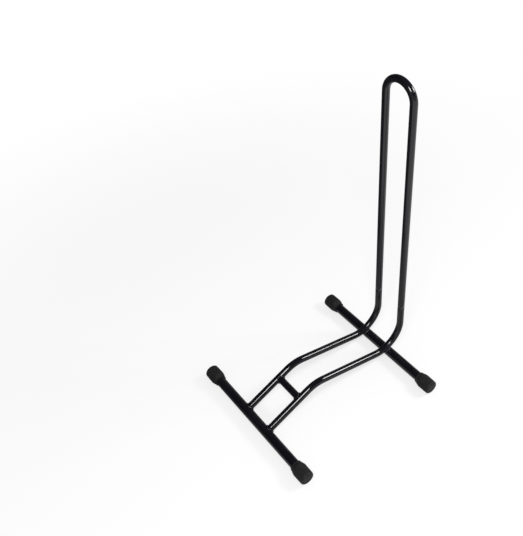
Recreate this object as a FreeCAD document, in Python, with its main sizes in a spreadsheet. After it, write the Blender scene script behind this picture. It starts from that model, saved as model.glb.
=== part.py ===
import FreeCAD, Part
import Sketcher

import math
import os

# Floor rack of bent steel tube, in millimetres. +Z is up, -X is the low front
# end and +X the end with the tall hoop. The rack is symmetric about the plane
# y = 0; "left" is -Y and "right" is +Y. The origin is on the floor, under the
# middle of the rack's length and width.
#
# Two round cross tubes lie across the rack on plastic end caps. Two rails, each
# one bent tube, start at the front cross tube, rise to a kink, fall to rest on
# the rear cross tube and bend up to an open end. An upside-down U, the hoop,
# plugs onto sleeves in those two open ends. A short crossbar ties the rails.

DIMENSIONS = {
    # Tubes
    "tube_diameter": 16.0,         # hoop, rails and crossbar
    "tube_wall": 1.2,
    "cross_tube_diameter": 22.0,
    "cross_tube_wall": 1.2,
    "cross_tube_length": 354.0,
    # Layout
    "base_length": 357.0,          # from one cross tube's axis to the other's
    "leg_spacing": 75.0,           # between the axes of the two rails
    "kink_reach": 136.7,           # corner of the kink, behind the front axis
    "kink_height": 72.9,           # corner of the kink, above the floor
    "kink_radius": 70.0,
    "bend_radius": 62.0,           # from the rail's foot up into its leg
    "seat_angle": 19.0,            # rail's contact on the rear tube, off its top
    "bar_reach": 93.0,             # crossbar, behind the front axis
    "seam_height": 143.0,          # where the hoop meets the rails
    "hoop_height": 721.7,
    # Joint between the hoop and the rails
    "seam_gap": 0.1,
    "seam_bevel": 0.4,
    "spigot_depth": 50.0,          # length of sleeve in the hoop's leg
    "spigot_rise": 0.6,            # from the foot of the rail's leg to the sleeve
    "spigot_wall": 1.5,
    "spigot_clearance": 0.05,
    "spigot_lead": 0.6,
    # End caps
    "cap_diameter": 33.0,          # largest, behind the shoulder
    "cap_end_diameter": 32.0,
    "cap_mouth_diameter": 26.6,
    "cap_collar": 2.0,             # straight rim at the mouth
    "cap_shoulder": 13.0,          # from the mouth to the full diameter
    "cap_grip": 36.0,              # depth of the bore over the tube
    "cap_end_wall": 5.5,
    "cap_round": 4.5,
    "cap_clearance": 0.1,
    "rib_count": 26.0,              # even but not a multiple of four: a rib underneath
    "rib_gap": 1.8,                # width of the groove between two ribs
    "rib_height": 0.7,
    "rib_stop": 5.0,               # plain band left at the closed end
    "foot_flat": 0.7,              # shaved off the underside
    # Vent hole in the top of the rear cross tube
    "vent_diameter": 5.0,
    "vent_offset": 118.0,
    # Welds
    "weld_gap": 0.03,              # tubes and beads, face to face
    "weld_size": 2.0,
    "seat_weld_angle": 28.0,       # beads on the rear tube, off its top
    "seat_weld_length": 12.0,
}

# Lengths that follow from the driving dimensions
TUBE_RADIUS = "(Sizes.tube_diameter / 2)"
TUBE_BORE = "(Sizes.tube_diameter / 2 - Sizes.tube_wall)"
CROSS_RADIUS = "(Sizes.cross_tube_diameter / 2)"
CROSS_BORE = "(Sizes.cross_tube_diameter / 2 - Sizes.cross_tube_wall)"
AXIS_HEIGHT = "(Sizes.cap_diameter / 2 - Sizes.foot_flat)"
RAIL_Y = "(Sizes.leg_spacing / 2)"

# The bend's centre stands off the rear tube's axis, along the contact's normal
SEAT_REACH = f"(Sizes.bend_radius + {TUBE_RADIUS} + {CROSS_RADIUS} + Sizes.weld_gap)"
BEND_X = f"(Sizes.base_length - {SEAT_REACH} * sin(Sizes.seat_angle))"
BEND_Z = f"({AXIS_HEIGHT} + {SEAT_REACH} * cos(Sizes.seat_angle))"
LEG_X = f"({BEND_X} + Sizes.bend_radius)"

# The front axis in the rack's frame: the overall length is halved by x = 0
OVERALL_LENGTH = f"(Sizes.cap_diameter / 2 + {LEG_X} + {TUBE_RADIUS})"
FRONT_X = f"(Sizes.cap_diameter / 2 - {OVERALL_LENGTH} / 2)"

# The rail's front run climbs from the front tube's axis to the kink
CLIMB = f"(Sizes.kink_height - {AXIS_HEIGHT})"
CLIMB_ANGLE = f"atan2({CLIMB}; Sizes.kink_reach)"
BAR_Z = f"({AXIS_HEIGHT} + Sizes.bar_reach * {CLIMB} / Sizes.kink_reach)"

HOOP_CENTRE_Z = f"(Sizes.hoop_height - {TUBE_RADIUS} - {RAIL_Y})"
SPIGOT_RADIUS = f"({TUBE_BORE} - Sizes.spigot_clearance)"
SPIGOT_FOOT = f"({BEND_Z} + Sizes.spigot_rise)"
SPIGOT_LENGTH = f"(Sizes.seam_height + Sizes.spigot_depth - {SPIGOT_FOOT})"
CAP_MOUTH_Y = "(Sizes.cross_tube_length / 2 - Sizes.cap_grip)"
CAP_LENGTH = "(Sizes.cap_grip + Sizes.cap_end_wall)"

ORIGIN = -1                        # geometry index of a sketch's origin
START, END, CENTRE = range(1, 4)   # points of a line or an arc
LEVEL_WITHIN = 1e-6                # rise of an edge that still counts as level
MATCH_WITHIN = 1e-4                # an edge this near a size and height has them
SIDES = {"left": -1, "right": 1}

document = FreeCAD.newDocument("FloorRack")


# ---------------------------------------------------------------- helpers

def make_sheet():
    """Puts the driving dimensions into a spreadsheet, one alias a row."""
    sheet = document.addObject("Spreadsheet::Sheet", "Sizes")
    for row, (name, value) in enumerate(DIMENSIONS.items(), start=1):
        sheet.set(f"A{row}", name)
        sheet.set(f"B{row}", str(value))
        sheet.setAlias(f"B{row}", name)
    document.recompute()
    return sheet


sizes = make_sheet()


def number(expression):
    """Value of an expression of the sheet's dimensions."""
    value = sizes.evalExpression(expression)
    return float(getattr(value, "Value", value))


def bind(thing, **expressions):
    """Binds properties to expressions; a double underscore stands for a dot."""
    for path, expression in expressions.items():
        thing.setExpression(path.replace("__", "."), expression)


def new_body(name, x="0", y="0", z="0"):
    """A body with its own label, placed by three expressions."""
    body = document.addObject("PartDesign::Body", name)
    body.Label = name
    bind(body, Placement__Base__x=x, Placement__Base__y=y, Placement__Base__z=z)
    return body


def origin_feature(body, role):
    """One of the body's own origin planes or axes."""
    return next(f for f in body.Origin.OriginFeatures if f.Role == role)


def new_sketch(body, name, plane, height=None):
    """A sketch on one of the body's origin planes, lifted by an expression."""
    sketch = body.newObject("Sketcher::SketchObject", f"{body.Name}_{name}")
    sketch.AttachmentSupport = (origin_feature(body, plane), "")
    sketch.MapMode = "FlatFace"
    if height:
        bind(sketch, AttachmentOffset__Base__z=height)
    return sketch


def constrain(sketch, kind, *place, to=None):
    """Adds a constraint and, when it is a size, binds it to an expression."""
    if to is None:
        return sketch.addConstraint(Sketcher.Constraint(kind, *place))
    index = sketch.addConstraint(Sketcher.Constraint(kind, *place, number(to)))
    sketch.setExpression(f"Constraints[{index}]", to)
    return index


def pin(sketch, geometry, point, across, up):
    """Fixes a point by its two distances from the sketch's origin.

    A distance is an expression; one that starts with a minus is measured the
    other way, so that every stored size is positive, and "0" is on the axis.
    """
    for kind, axis, distance in (("DistanceX", -2, across), ("DistanceY", -1, up)):
        if distance == "0":
            constrain(sketch, "PointOnObject", geometry, point, axis)
        elif distance.startswith("-"):
            constrain(sketch, kind, geometry, point, ORIGIN, 1, to=distance[1:])
        else:
            constrain(sketch, kind, ORIGIN, 1, geometry, point, to=distance)


def signed(distance):
    """Number of a distance as pin() reads it."""
    return -number(distance[1:]) if distance.startswith("-") else number(distance)


def add_circle(sketch, radius, across="0", up="0"):
    """A circle with a bound radius and a pinned centre."""
    centre = FreeCAD.Vector(signed(across), signed(up), 0)
    circle = Part.Circle(centre, FreeCAD.Vector(0, 0, 1), number(radius))
    index = sketch.addGeometry(circle, False)
    constrain(sketch, "Radius", index, to=radius)
    if across == "0" and up == "0":
        constrain(sketch, "Coincident", index, CENTRE, ORIGIN, 1)
    else:
        pin(sketch, index, CENTRE, across, up)
    return index


def add_outline(sketch, corners):
    """A closed outline of straight lines through pinned corners."""
    points = [FreeCAD.Vector(signed(a), signed(b), 0) for a, b in corners]
    lines = [
        sketch.addGeometry(Part.LineSegment(start, end), False)
        for start, end in zip(points, points[1:] + points[:1])
    ]
    for line, following in zip(lines, lines[1:] + lines[:1]):
        constrain(sketch, "Coincident", line, END, following, START)
    for line, (across, up) in zip(lines, corners):
        if across == "0" and up == "0":
            constrain(sketch, "Coincident", line, START, ORIGIN, 1)
        else:
            pin(sketch, line, START, across, up)
    return lines


def finish(body, feature):
    """Makes a feature the body's tip and rebuilds the document."""
    body.Tip = feature
    document.recompute()
    return feature


def add_pad(body, sketch, length):
    """Pads a sketch evenly to both sides of its plane."""
    pad = body.newObject("PartDesign::Pad", f"{body.Name}_pad")
    pad.Profile = sketch
    pad.SideType = "Symmetric"
    bind(pad, Length=length)
    return finish(body, pad)


def add_cut(body, name, sketch, both_ways=True, upward=False, depth=None):
    """Cuts a sketch away and makes sure that something came off."""
    before = body.Shape.Volume
    cut = body.newObject("PartDesign::Pocket", f"{body.Name}_{name}")
    cut.Profile = sketch
    if both_ways:
        cut.SideType = "Symmetric"
    cut.Reversed = upward
    if depth:
        bind(cut, Length=depth)
    else:
        cut.Type = "ThroughAll"
    finish(body, cut)
    if not body.Shape.Volume < before:
        raise RuntimeError(f"{cut.Name} cuts nothing")
    return cut


def add_pipe(body, path, profile):
    """Sweeps a profile of two circles along a path."""
    pipe = body.newObject("PartDesign::AdditivePipe", f"{body.Name}_pipe")
    pipe.Profile = profile
    pipe.Spine = path
    return finish(body, pipe)


def circular_edges(body, radius, height):
    """Names of the body's level circles of one radius at one local height."""
    names = []
    for index, edge in enumerate(body.Tip.Shape.Edges, start=1):
        level = edge.BoundBox.ZLength < LEVEL_WITHIN
        if not level or not isinstance(edge.Curve, Part.Circle):
            continue
        off = abs(edge.Curve.Radius - radius) + abs(edge.BoundBox.ZMin - height)
        if off < MATCH_WITHIN:
            names.append(f"Edge{index}")
    return names


def dress(body, kind, name, edges, **expressions):
    """Adds a chamfer or a fillet to named edges of the body's tip."""
    base = body.Tip
    feature = body.newObject(f"PartDesign::{kind}", f"{body.Name}_{name}")
    feature.Base = (base, edges)
    bind(feature, **expressions)
    return finish(body, feature)


# ---------------------------------------------------------------- rails

def tangent_run(corner, centre, radius):
    """Where a line from a corner touches the underside of a circle."""
    dx, dz = centre[0] - corner[0], centre[1] - corner[1]
    distance = math.hypot(dx, dz)
    heading = math.atan2(dz, dx) - math.asin(radius / distance)
    return (
        centre[0] + radius * math.sin(heading),
        centre[1] - radius * math.cos(heading),
        heading,
    )


def draw_rail_path(sketch):
    """Front run, kink, rear run, bend and leg, joined smoothly.

    The points worked out here only start the sketch near its solution; the
    constraints place them.
    """
    foot = FreeCAD.Vector(0, number(AXIS_HEIGHT), 0)
    corner = FreeCAD.Vector(number("Sizes.kink_reach"), number("Sizes.kink_height"), 0)
    bend = FreeCAD.Vector(number(BEND_X), number(BEND_Z), 0)
    bend_radius = number("Sizes.bend_radius")
    kink_radius = number("Sizes.kink_radius")
    climb = math.radians(number(CLIMB_ANGLE))
    touch_x, touch_z, heading = tangent_run(
        (corner.x, corner.y), (bend.x, bend.y), bend_radius
    )
    touch = FreeCAD.Vector(touch_x, touch_z, 0)
    setback = kink_radius * math.tan((climb - heading) / 2)
    rise = FreeCAD.Vector(math.cos(climb), math.sin(climb), 0)
    fall = FreeCAD.Vector(math.cos(heading), math.sin(heading), 0)
    kink_start = corner - rise * setback
    kink_end = corner + fall * setback
    kink_centre = kink_start + FreeCAD.Vector(rise.y, -rise.x, 0) * kink_radius
    leg_foot = FreeCAD.Vector(bend.x + bend_radius, bend.y, 0)
    leg_top = FreeCAD.Vector(leg_foot.x, number("Sizes.seam_height"), 0)

    def arc(centre, radius, first, last):
        circle = Part.Circle(centre, FreeCAD.Vector(0, 0, 1), radius)
        angles = [math.atan2(p.y - centre.y, p.x - centre.x) for p in (first, last)]
        return Part.ArcOfCircle(circle, *angles)

    front_run = sketch.addGeometry(Part.LineSegment(foot, kink_start), False)
    kink = sketch.addGeometry(arc(kink_centre, kink_radius, kink_end, kink_start), False)
    rear_run = sketch.addGeometry(Part.LineSegment(kink_end, touch), False)
    sweep = sketch.addGeometry(arc(bend, bend_radius, touch, leg_foot), False)
    leg = sketch.addGeometry(Part.LineSegment(leg_foot, leg_top), False)
    apex = sketch.addGeometry(Part.Point(corner), True)

    constrain(sketch, "Tangent", front_run, END, kink, END)
    constrain(sketch, "Tangent", kink, START, rear_run, START)
    constrain(sketch, "Tangent", rear_run, END, sweep, START)
    constrain(sketch, "Tangent", sweep, END, leg, START)
    pin(sketch, front_run, START, "0", AXIS_HEIGHT)
    pin(sketch, apex, 1, "Sizes.kink_reach", "Sizes.kink_height")
    constrain(sketch, "PointOnObject", apex, 1, front_run)
    constrain(sketch, "PointOnObject", apex, 1, rear_run)
    constrain(sketch, "Radius", kink, to="Sizes.kink_radius")
    pin(sketch, sweep, CENTRE, BEND_X, BEND_Z)
    constrain(sketch, "Radius", sweep, to="Sizes.bend_radius")
    constrain(sketch, "Vertical", leg)
    constrain(sketch, "DistanceY", ORIGIN, 1, leg, END, to="Sizes.seam_height")


def make_rail(name, side):
    """One rail, coped over the front cross tube and open at its top.

    The body's own origin is on the floor under the front tube's axis.
    """
    body = new_body(name, x=FRONT_X, y=f"{side} * {RAIL_Y}")
    path = new_sketch(body, "path", "XZ_Plane")
    draw_rail_path(path)
    profile = new_sketch(body, "profile", "XY_Plane", height="Sizes.seam_height")
    add_circle(profile, TUBE_RADIUS, across=LEG_X)
    add_circle(profile, TUBE_BORE, across=LEG_X)
    add_pipe(body, path, profile)

    cope = new_sketch(body, "cope_outline", "XZ_Plane")
    add_circle(cope, f"({CROSS_RADIUS} + Sizes.weld_gap)", up=AXIS_HEIGHT)
    add_cut(body, "cope", cope)
    rim = circular_edges(body, number(TUBE_RADIUS), number("Sizes.seam_height"))
    dress(body, "Chamfer", "bevel", rim, Size="Sizes.seam_bevel")
    return body


# ---------------------------------------------------------------- hoop

def make_hoop():
    """Upside-down U with a half round top, open at both feet."""
    body = new_body("hoop", x=f"{FRONT_X} + {LEG_X}", y=f"-{RAIL_Y}")
    foot = "(Sizes.seam_height + Sizes.seam_gap)"
    radius, spacing = number(RAIL_Y), number("Sizes.leg_spacing")
    low, high = number(foot), number(HOOP_CENTRE_Z)
    near_foot, near_top = FreeCAD.Vector(0, low, 0), FreeCAD.Vector(0, high, 0)
    far_foot = FreeCAD.Vector(spacing, low, 0)
    far_top = FreeCAD.Vector(spacing, high, 0)
    crown = Part.Circle(FreeCAD.Vector(radius, high, 0), FreeCAD.Vector(0, 0, 1), radius)

    path = new_sketch(body, "path", "YZ_Plane")
    near_leg = path.addGeometry(Part.LineSegment(near_foot, near_top), False)
    arch = path.addGeometry(Part.ArcOfCircle(crown, 0, math.pi), False)
    far_leg = path.addGeometry(Part.LineSegment(far_top, far_foot), False)
    constrain(path, "Tangent", near_leg, END, arch, END)
    constrain(path, "Tangent", arch, START, far_leg, START)
    constrain(path, "Vertical", near_leg)
    constrain(path, "Horizontal", near_leg, START, far_leg, END)
    constrain(path, "Radius", arch, to=RAIL_Y)
    pin(path, near_leg, START, "0", foot)
    constrain(path, "DistanceY", ORIGIN, 1, arch, CENTRE, to=HOOP_CENTRE_Z)

    profile = new_sketch(body, "profile", "XY_Plane", height=foot)
    add_circle(profile, TUBE_RADIUS)
    add_circle(profile, TUBE_BORE)
    add_pipe(body, path, profile)
    rims = circular_edges(body, number(TUBE_RADIUS), low)
    dress(body, "Chamfer", "bevel", rims, Size="Sizes.seam_bevel")
    return body


def make_spigot(name, side):
    """Sleeve inside the joint, from the foot of the rail's leg up into the hoop."""
    body = new_body(
        name,
        x=f"{FRONT_X} + {LEG_X}",
        y=f"{side} * {RAIL_Y}",
        z=f"{SPIGOT_FOOT} + {SPIGOT_LENGTH} / 2",
    )
    section = new_sketch(body, "section", "XY_Plane")
    add_circle(section, SPIGOT_RADIUS)
    add_circle(section, f"({SPIGOT_RADIUS} - Sizes.spigot_wall)")
    add_pad(body, section, SPIGOT_LENGTH)
    top = circular_edges(body, number(SPIGOT_RADIUS), number(SPIGOT_LENGTH) / 2)
    dress(body, "Chamfer", "lead", top, Size="Sizes.spigot_lead")
    return body


# ---------------------------------------------------------------- cross tubes

def make_cross_tube(name, x):
    """A straight tube across the rack, centred on y = 0."""
    body = new_body(name, x=x, z=AXIS_HEIGHT)
    section = new_sketch(body, "section", "XZ_Plane")
    add_circle(section, CROSS_RADIUS)
    add_circle(section, CROSS_BORE)
    add_pad(body, section, "Sizes.cross_tube_length")
    return body


def drill_vent(body):
    """A small hole through the tube's upper wall, near its left end."""
    outline = new_sketch(body, "vent_outline", "XY_Plane")
    add_circle(outline, "(Sizes.vent_diameter / 2)", up="-Sizes.vent_offset")
    add_cut(body, "vent", outline, both_ways=False, upward=True,
            depth="Sizes.cross_tube_diameter")


def make_crossbar():
    """A short tube between the rails, coped onto both at its ends.

    Its body is tipped so that its own X axis runs along the rails there.
    """
    body = new_body("crossbar", x=f"{FRONT_X} + Sizes.bar_reach", z=BAR_Z)
    tip_up(body)
    section = new_sketch(body, "section", "XZ_Plane")
    add_circle(section, TUBE_RADIUS)
    add_circle(section, TUBE_BORE)
    add_pad(body, section, "Sizes.leg_spacing")
    for cope_name, side in (("left_cope", "-"), ("right_cope", "")):
        outline = new_sketch(body, f"{cope_name}_outline", "YZ_Plane")
        add_circle(outline, f"({TUBE_RADIUS} + Sizes.weld_gap)", across=side + RAIL_Y)
        add_cut(body, cope_name, outline)
    return body


def tip_up(thing):
    """Turns an object's X axis to the slope of the rails' front run."""
    turn = FreeCAD.Rotation(FreeCAD.Vector(0, -1, 0), number(CLIMB_ANGLE))
    thing.Placement = FreeCAD.Placement(thing.Placement.Base, turn)
    bind(thing, Placement__Rotation__Angle=CLIMB_ANGLE)


# ---------------------------------------------------------------- end caps

def make_cap(name, x, side):
    """Plastic cap: collar, cone shoulder, ribbed barrel and rounded end.

    It is made along its own Z axis, from the mouth at z = 0 to the closed end,
    with its own +Y pointing down at the floor once it is placed.
    """
    body = new_body(name, x=x, y=f"{side} * {CAP_MOUTH_Y}", z=AXIS_HEIGHT)
    outward = FreeCAD.Vector(0, side, 0)
    down = FreeCAD.Vector(0, 0, -1)
    turn = FreeCAD.Rotation(down.cross(outward), down, outward, "ZYX")
    body.Placement = FreeCAD.Placement(body.Placement.Base, turn)

    bore = f"({CROSS_RADIUS} + Sizes.cap_clearance)"
    half = new_sketch(body, "half_section", "XZ_Plane")
    add_outline(half, [
        (bore, "0"),
        ("(Sizes.cap_mouth_diameter / 2)", "0"),
        ("(Sizes.cap_mouth_diameter / 2)", "Sizes.cap_collar"),
        ("(Sizes.cap_diameter / 2)", "Sizes.cap_shoulder"),
        ("(Sizes.cap_end_diameter / 2)", CAP_LENGTH),
        ("0", CAP_LENGTH),
        ("0", "Sizes.cap_grip"),
        (bore, "Sizes.cap_grip"),
    ])
    turned = body.newObject("PartDesign::Revolution", f"{name}_turned")
    turned.Profile = half
    turned.ReferenceAxis = (half, ["V_Axis"])
    turned.Angle = 360
    finish(body, turned)
    rim = circular_edges(body, number("Sizes.cap_end_diameter / 2"), number(CAP_LENGTH))
    dress(body, "Fillet", "end_round", rim, Radius="Sizes.cap_round")

    slot = new_sketch(body, "groove_outline", "XZ_Plane")
    stop = f"({CAP_LENGTH} - Sizes.rib_stop)"
    add_outline(slot, [
        ("(Sizes.cap_diameter / 2 - Sizes.rib_height)", "Sizes.cap_collar"),
        ("(Sizes.cap_diameter / 2 - Sizes.rib_height)", "Sizes.cap_shoulder"),
        ("(Sizes.cap_end_diameter / 2 - Sizes.rib_height)", stop),
        ("(Sizes.cap_diameter / 2 + Sizes.rib_height)", stop),
        ("(Sizes.cap_diameter / 2 + Sizes.rib_height)", "Sizes.cap_collar"),
    ])
    groove = add_cut(body, "groove", slot, depth="Sizes.rib_gap")
    ribs = body.newObject("PartDesign::PolarPattern", f"{name}_ribs")
    ribs.Originals = [groove]
    ribs.Axis = (slot, ["V_Axis"])
    ribs.Angle = 360
    bind(ribs, Occurrences="Sizes.rib_count")
    finish(body, ribs)

    flat = new_sketch(body, "foot_outline", "XY_Plane")
    wide = "(Sizes.cap_diameter / 2)"
    below = "(Sizes.cap_diameter / 2 + Sizes.foot_flat)"
    add_outline(flat, [
        (f"-{wide}", AXIS_HEIGHT), (wide, AXIS_HEIGHT),
        (wide, below), (f"-{wide}", below),
    ])
    add_cut(body, "foot", flat)
    return body


# ---------------------------------------------------------------- welds

def new_solid(kind, name, **expressions):
    """A primitive whose sizes and place are bound to expressions."""
    solid = document.addObject(f"Part::{kind}", name)
    bind(solid, **expressions)
    return solid


def cut_away(name, base, tool):
    """The base solid less a tool."""
    cut = document.addObject("Part::Cut", name)
    cut.Base = base
    cut.Tool = tool
    cut.Label = name
    return cut


def grown_cross_tube(name, x):
    """Solid cylinder just over a cross tube, to cut beads to its surface."""
    rod = new_solid(
        "Cylinder", name, Radius=f"{CROSS_RADIUS} + Sizes.weld_gap",
        Height="Sizes.cross_tube_length", Placement__Base__x=x,
        Placement__Base__y="-Sizes.cross_tube_length / 2", Placement__Base__z=AXIS_HEIGHT,
    )
    rod.Placement = FreeCAD.Placement(
        rod.Placement.Base, FreeCAD.Rotation(FreeCAD.Vector(1, 0, 0), -90)
    )
    return rod


def grown_front_run(name):
    """Solid cylinder just over the right rail's front run."""
    rod = new_solid(
        "Cylinder", name, Radius=f"{TUBE_RADIUS} + Sizes.weld_gap",
        Height="Sizes.kink_reach", Placement__Base__x=FRONT_X,
        Placement__Base__y=RAIL_Y, Placement__Base__z=AXIS_HEIGHT,
        Placement__Rotation__Angle=f"90 deg - {CLIMB_ANGLE}",
    )
    turn = FreeCAD.Rotation(FreeCAD.Vector(0, 1, 0), 90 - number(CLIMB_ANGLE))
    rod.Placement = FreeCAD.Placement(rod.Placement.Base, turn)
    return rod


def grown_bend(name):
    """Solid ring just over the right rail's lower bend."""
    ring = new_solid(
        "Torus", name, Radius1="Sizes.bend_radius",
        Radius2=f"{TUBE_RADIUS} + Sizes.weld_gap",
        Placement__Base__x=f"{FRONT_X} + {BEND_X}",
        Placement__Base__y=RAIL_Y, Placement__Base__z=BEND_Z,
    )
    ring.Placement = FreeCAD.Placement(
        ring.Placement.Base, FreeCAD.Rotation(FreeCAD.Vector(1, 0, 0), 90)
    )
    return ring


def grown_crossbar(name):
    """Solid cylinder just over the crossbar."""
    rod = new_solid(
        "Cylinder", name, Radius=f"{TUBE_RADIUS} + Sizes.weld_gap",
        Height="Sizes.leg_spacing", Placement__Base__x=f"{FRONT_X} + Sizes.bar_reach",
        Placement__Base__y=f"-{RAIL_Y}", Placement__Base__z=BAR_Z,
    )
    rod.Placement = FreeCAD.Placement(
        rod.Placement.Base, FreeCAD.Rotation(FreeCAD.Vector(1, 0, 0), -90)
    )
    return rod


def make_front_weld(name):
    """Bead round the right rail where its cope meets the front cross tube."""
    # The joint line lies between these two distances from the tube's axis
    middle = f"(({CROSS_RADIUS} + sqrt({CROSS_RADIUS}^2 - {TUBE_RADIUS}^2)) / 2)"
    across = f"({TUBE_RADIUS} + 1.3 * Sizes.weld_size)"
    upright = f"({TUBE_RADIUS} + 0.8 * Sizes.weld_size)"
    along = (
        f"(({CROSS_RADIUS} + Sizes.weld_size - {middle})"
        f" / sqrt(1 - ({TUBE_RADIUS} / {across})^2))"
    )
    blob = new_solid(
        "Ellipsoid", f"{name}_blob", Radius1=upright, Radius2=along, Radius3=across,
        Placement__Base__x=f"{FRONT_X} + {middle} * cos({CLIMB_ANGLE})",
        Placement__Base__y=RAIL_Y,
        Placement__Base__z=f"{AXIS_HEIGHT} + {middle} * sin({CLIMB_ANGLE})",
    )
    tip_up(blob)
    trimmed = cut_away(f"{name}_trimmed", blob, grown_front_run(f"{name}_rail"))
    return cut_away(name, trimmed, grown_cross_tube(f"{name}_tube", FRONT_X))


def make_bar_weld(name):
    """Bead round the right end of the crossbar."""
    middle = f"({TUBE_RADIUS} / 2)"
    across = f"({TUBE_RADIUS} + 1.5 * Sizes.weld_size)"
    upright = f"({TUBE_RADIUS} + 0.5 * Sizes.weld_size)"
    along = (
        f"(({TUBE_RADIUS} + Sizes.weld_size - {middle})"
        f" / sqrt(1 - ({TUBE_RADIUS} / {across})^2))"
    )
    blob = new_solid(
        "Ellipsoid", f"{name}_blob", Radius1=upright, Radius2=across, Radius3=along,
        Placement__Base__x=f"{FRONT_X} + Sizes.bar_reach",
        Placement__Base__y=f"{RAIL_Y} - {middle}",
        Placement__Base__z=BAR_Z,
    )
    tip_up(blob)
    trimmed = cut_away(f"{name}_trimmed", blob, grown_front_run(f"{name}_rail"))
    return cut_away(name, trimmed, grown_crossbar(f"{name}_bar"))


def make_seat_weld(name, outward):
    """Bead beside the right rail where its bend lies on the rear cross tube."""
    lift = f"({CROSS_RADIUS} + 0.3 * Sizes.weld_size)"
    blob = new_solid(
        "Ellipsoid", f"{name}_blob", Radius1="1.7 * Sizes.weld_size",
        Radius2="Sizes.seat_weld_length / 2", Radius3="1.7 * Sizes.weld_size",
        Placement__Base__x=(
            f"{FRONT_X} + Sizes.base_length - {lift} * sin(Sizes.seat_weld_angle)"
        ),
        Placement__Base__y=(
            f"{RAIL_Y} + {outward} * ({TUBE_RADIUS} - 0.3 * Sizes.weld_size)"
        ),
        Placement__Base__z=f"{AXIS_HEIGHT} + {lift} * cos(Sizes.seat_weld_angle)",
        Placement__Rotation__Angle="Sizes.seat_weld_angle",
    )
    turn = FreeCAD.Rotation(FreeCAD.Vector(0, -1, 0), number("Sizes.seat_weld_angle"))
    blob.Placement = FreeCAD.Placement(blob.Placement.Base, turn)
    trimmed = cut_away(f"{name}_trimmed", blob, grown_bend(f"{name}_rail"))
    tube = grown_cross_tube(f"{name}_tube", f"{FRONT_X} + Sizes.base_length")
    return cut_away(name, trimmed, tube)


def mirrored(name, source):
    """The left twin of a right-hand bead."""
    twin = document.addObject("Part::Mirroring", name)
    twin.Source = source
    twin.Normal = FreeCAD.Vector(0, 1, 0)
    twin.Label = name
    return twin


def make_welds():
    """Beads at the six joints, made on the right and mirrored to the left."""
    right = [
        make_front_weld("weld_front_right"),
        make_bar_weld("weld_crossbar_right"),
        make_seat_weld("weld_rear_right_inner", -1),
        make_seat_weld("weld_rear_right_outer", 1),
    ]
    left = [mirrored(bead.Label.replace("right", "left"), bead) for bead in right]
    return right + left


# ---------------------------------------------------------------- the rack

def make_rack():
    """Every piece of the rack, as a list of document objects."""
    rear_x = f"{FRONT_X} + Sizes.base_length"
    rear_tube = make_cross_tube("rear_cross_tube", rear_x)
    drill_vent(rear_tube)
    pieces = [
        make_hoop(), make_cross_tube("front_cross_tube", FRONT_X), rear_tube, make_crossbar(),
    ]
    for word, side in SIDES.items():
        pieces.append(make_rail(f"{word}_rail", side))
        pieces.append(make_spigot(f"{word}_spigot", side))
        pieces.append(make_cap(f"front_{word}_cap", FRONT_X, side))
        pieces.append(make_cap(f"rear_{word}_cap", rear_x, side))
    return pieces + make_welds()


def check(pieces):
    """Stops if any object failed or any piece isn't one valid solid."""
    document.recompute()
    for thing in document.Objects:
        if "Invalid" in thing.State or "Error" in thing.State:
            raise RuntimeError(f"{thing.Name} failed: {thing.State}")
    for piece in pieces:
        shape = piece.Shape
        if shape.isNull() or not shape.isValid() or len(shape.Solids) != 1:
            raise RuntimeError(f"{piece.Label} isn't one valid solid")


def export(pieces):
    """Writes each piece to its own STEP file."""
    os.makedirs("parts", exist_ok=True)
    for piece in pieces:
        piece.Shape.exportStep(f"parts/{piece.Label}.step")


rack = make_rack()
check(rack)
export(rack)
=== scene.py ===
"""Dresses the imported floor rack: smooth painted tubes, beads, caps and stage.

Everything is in metres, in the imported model's frame: +Z is up, the low front
end is at -X, the hoop at +X, and the left side is -Y.
"""

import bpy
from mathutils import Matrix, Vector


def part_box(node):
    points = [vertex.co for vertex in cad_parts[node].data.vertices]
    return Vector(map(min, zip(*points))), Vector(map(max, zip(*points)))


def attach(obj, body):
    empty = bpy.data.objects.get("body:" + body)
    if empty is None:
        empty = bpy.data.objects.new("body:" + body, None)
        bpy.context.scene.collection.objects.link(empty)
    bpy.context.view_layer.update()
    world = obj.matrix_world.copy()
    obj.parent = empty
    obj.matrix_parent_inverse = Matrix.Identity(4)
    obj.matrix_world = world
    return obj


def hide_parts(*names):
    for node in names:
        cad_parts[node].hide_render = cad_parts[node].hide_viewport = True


bl_info = {
    "name": "Floor Rack Finish",
    "version": (1, 0, 0),
    "blender": (4, 5, 0),
    "location": "3D View > Sidebar > Rack",
    "description": "Builds the visible surfaces and finishes of a tubular floor rack",
    "category": "Object",
}

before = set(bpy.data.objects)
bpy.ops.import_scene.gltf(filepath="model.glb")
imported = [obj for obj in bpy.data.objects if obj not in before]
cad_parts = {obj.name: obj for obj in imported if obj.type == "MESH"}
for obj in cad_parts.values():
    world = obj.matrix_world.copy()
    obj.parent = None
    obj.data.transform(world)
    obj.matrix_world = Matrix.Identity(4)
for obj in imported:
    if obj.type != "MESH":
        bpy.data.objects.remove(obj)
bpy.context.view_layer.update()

import math

import bpy
import numpy as np
from bpy.props import (
    FloatProperty, FloatVectorProperty, IntProperty, PointerProperty,
)
from bpy.types import Operator, Panel, PropertyGroup
from mathutils import Matrix, Vector

MM = 0.001
SIDES = {"left": -1, "right": 1}
TURN = 2 * math.pi
X, Y, Z = range(3)
MERGE_WITHIN = 1e-7                # metres, under which points count as one
PHOTO_SIZE = (523, 536)            # pixels


# ------------------------------------------------ sizes read from the frame

def middle(node, axis):
    """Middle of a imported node's box along one axis."""
    low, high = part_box(node)
    return (low[axis] + high[axis]) / 2


def extent(node, axis):
    """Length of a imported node's box along one axis."""
    low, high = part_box(node)
    return high[axis] - low[axis]


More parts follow.
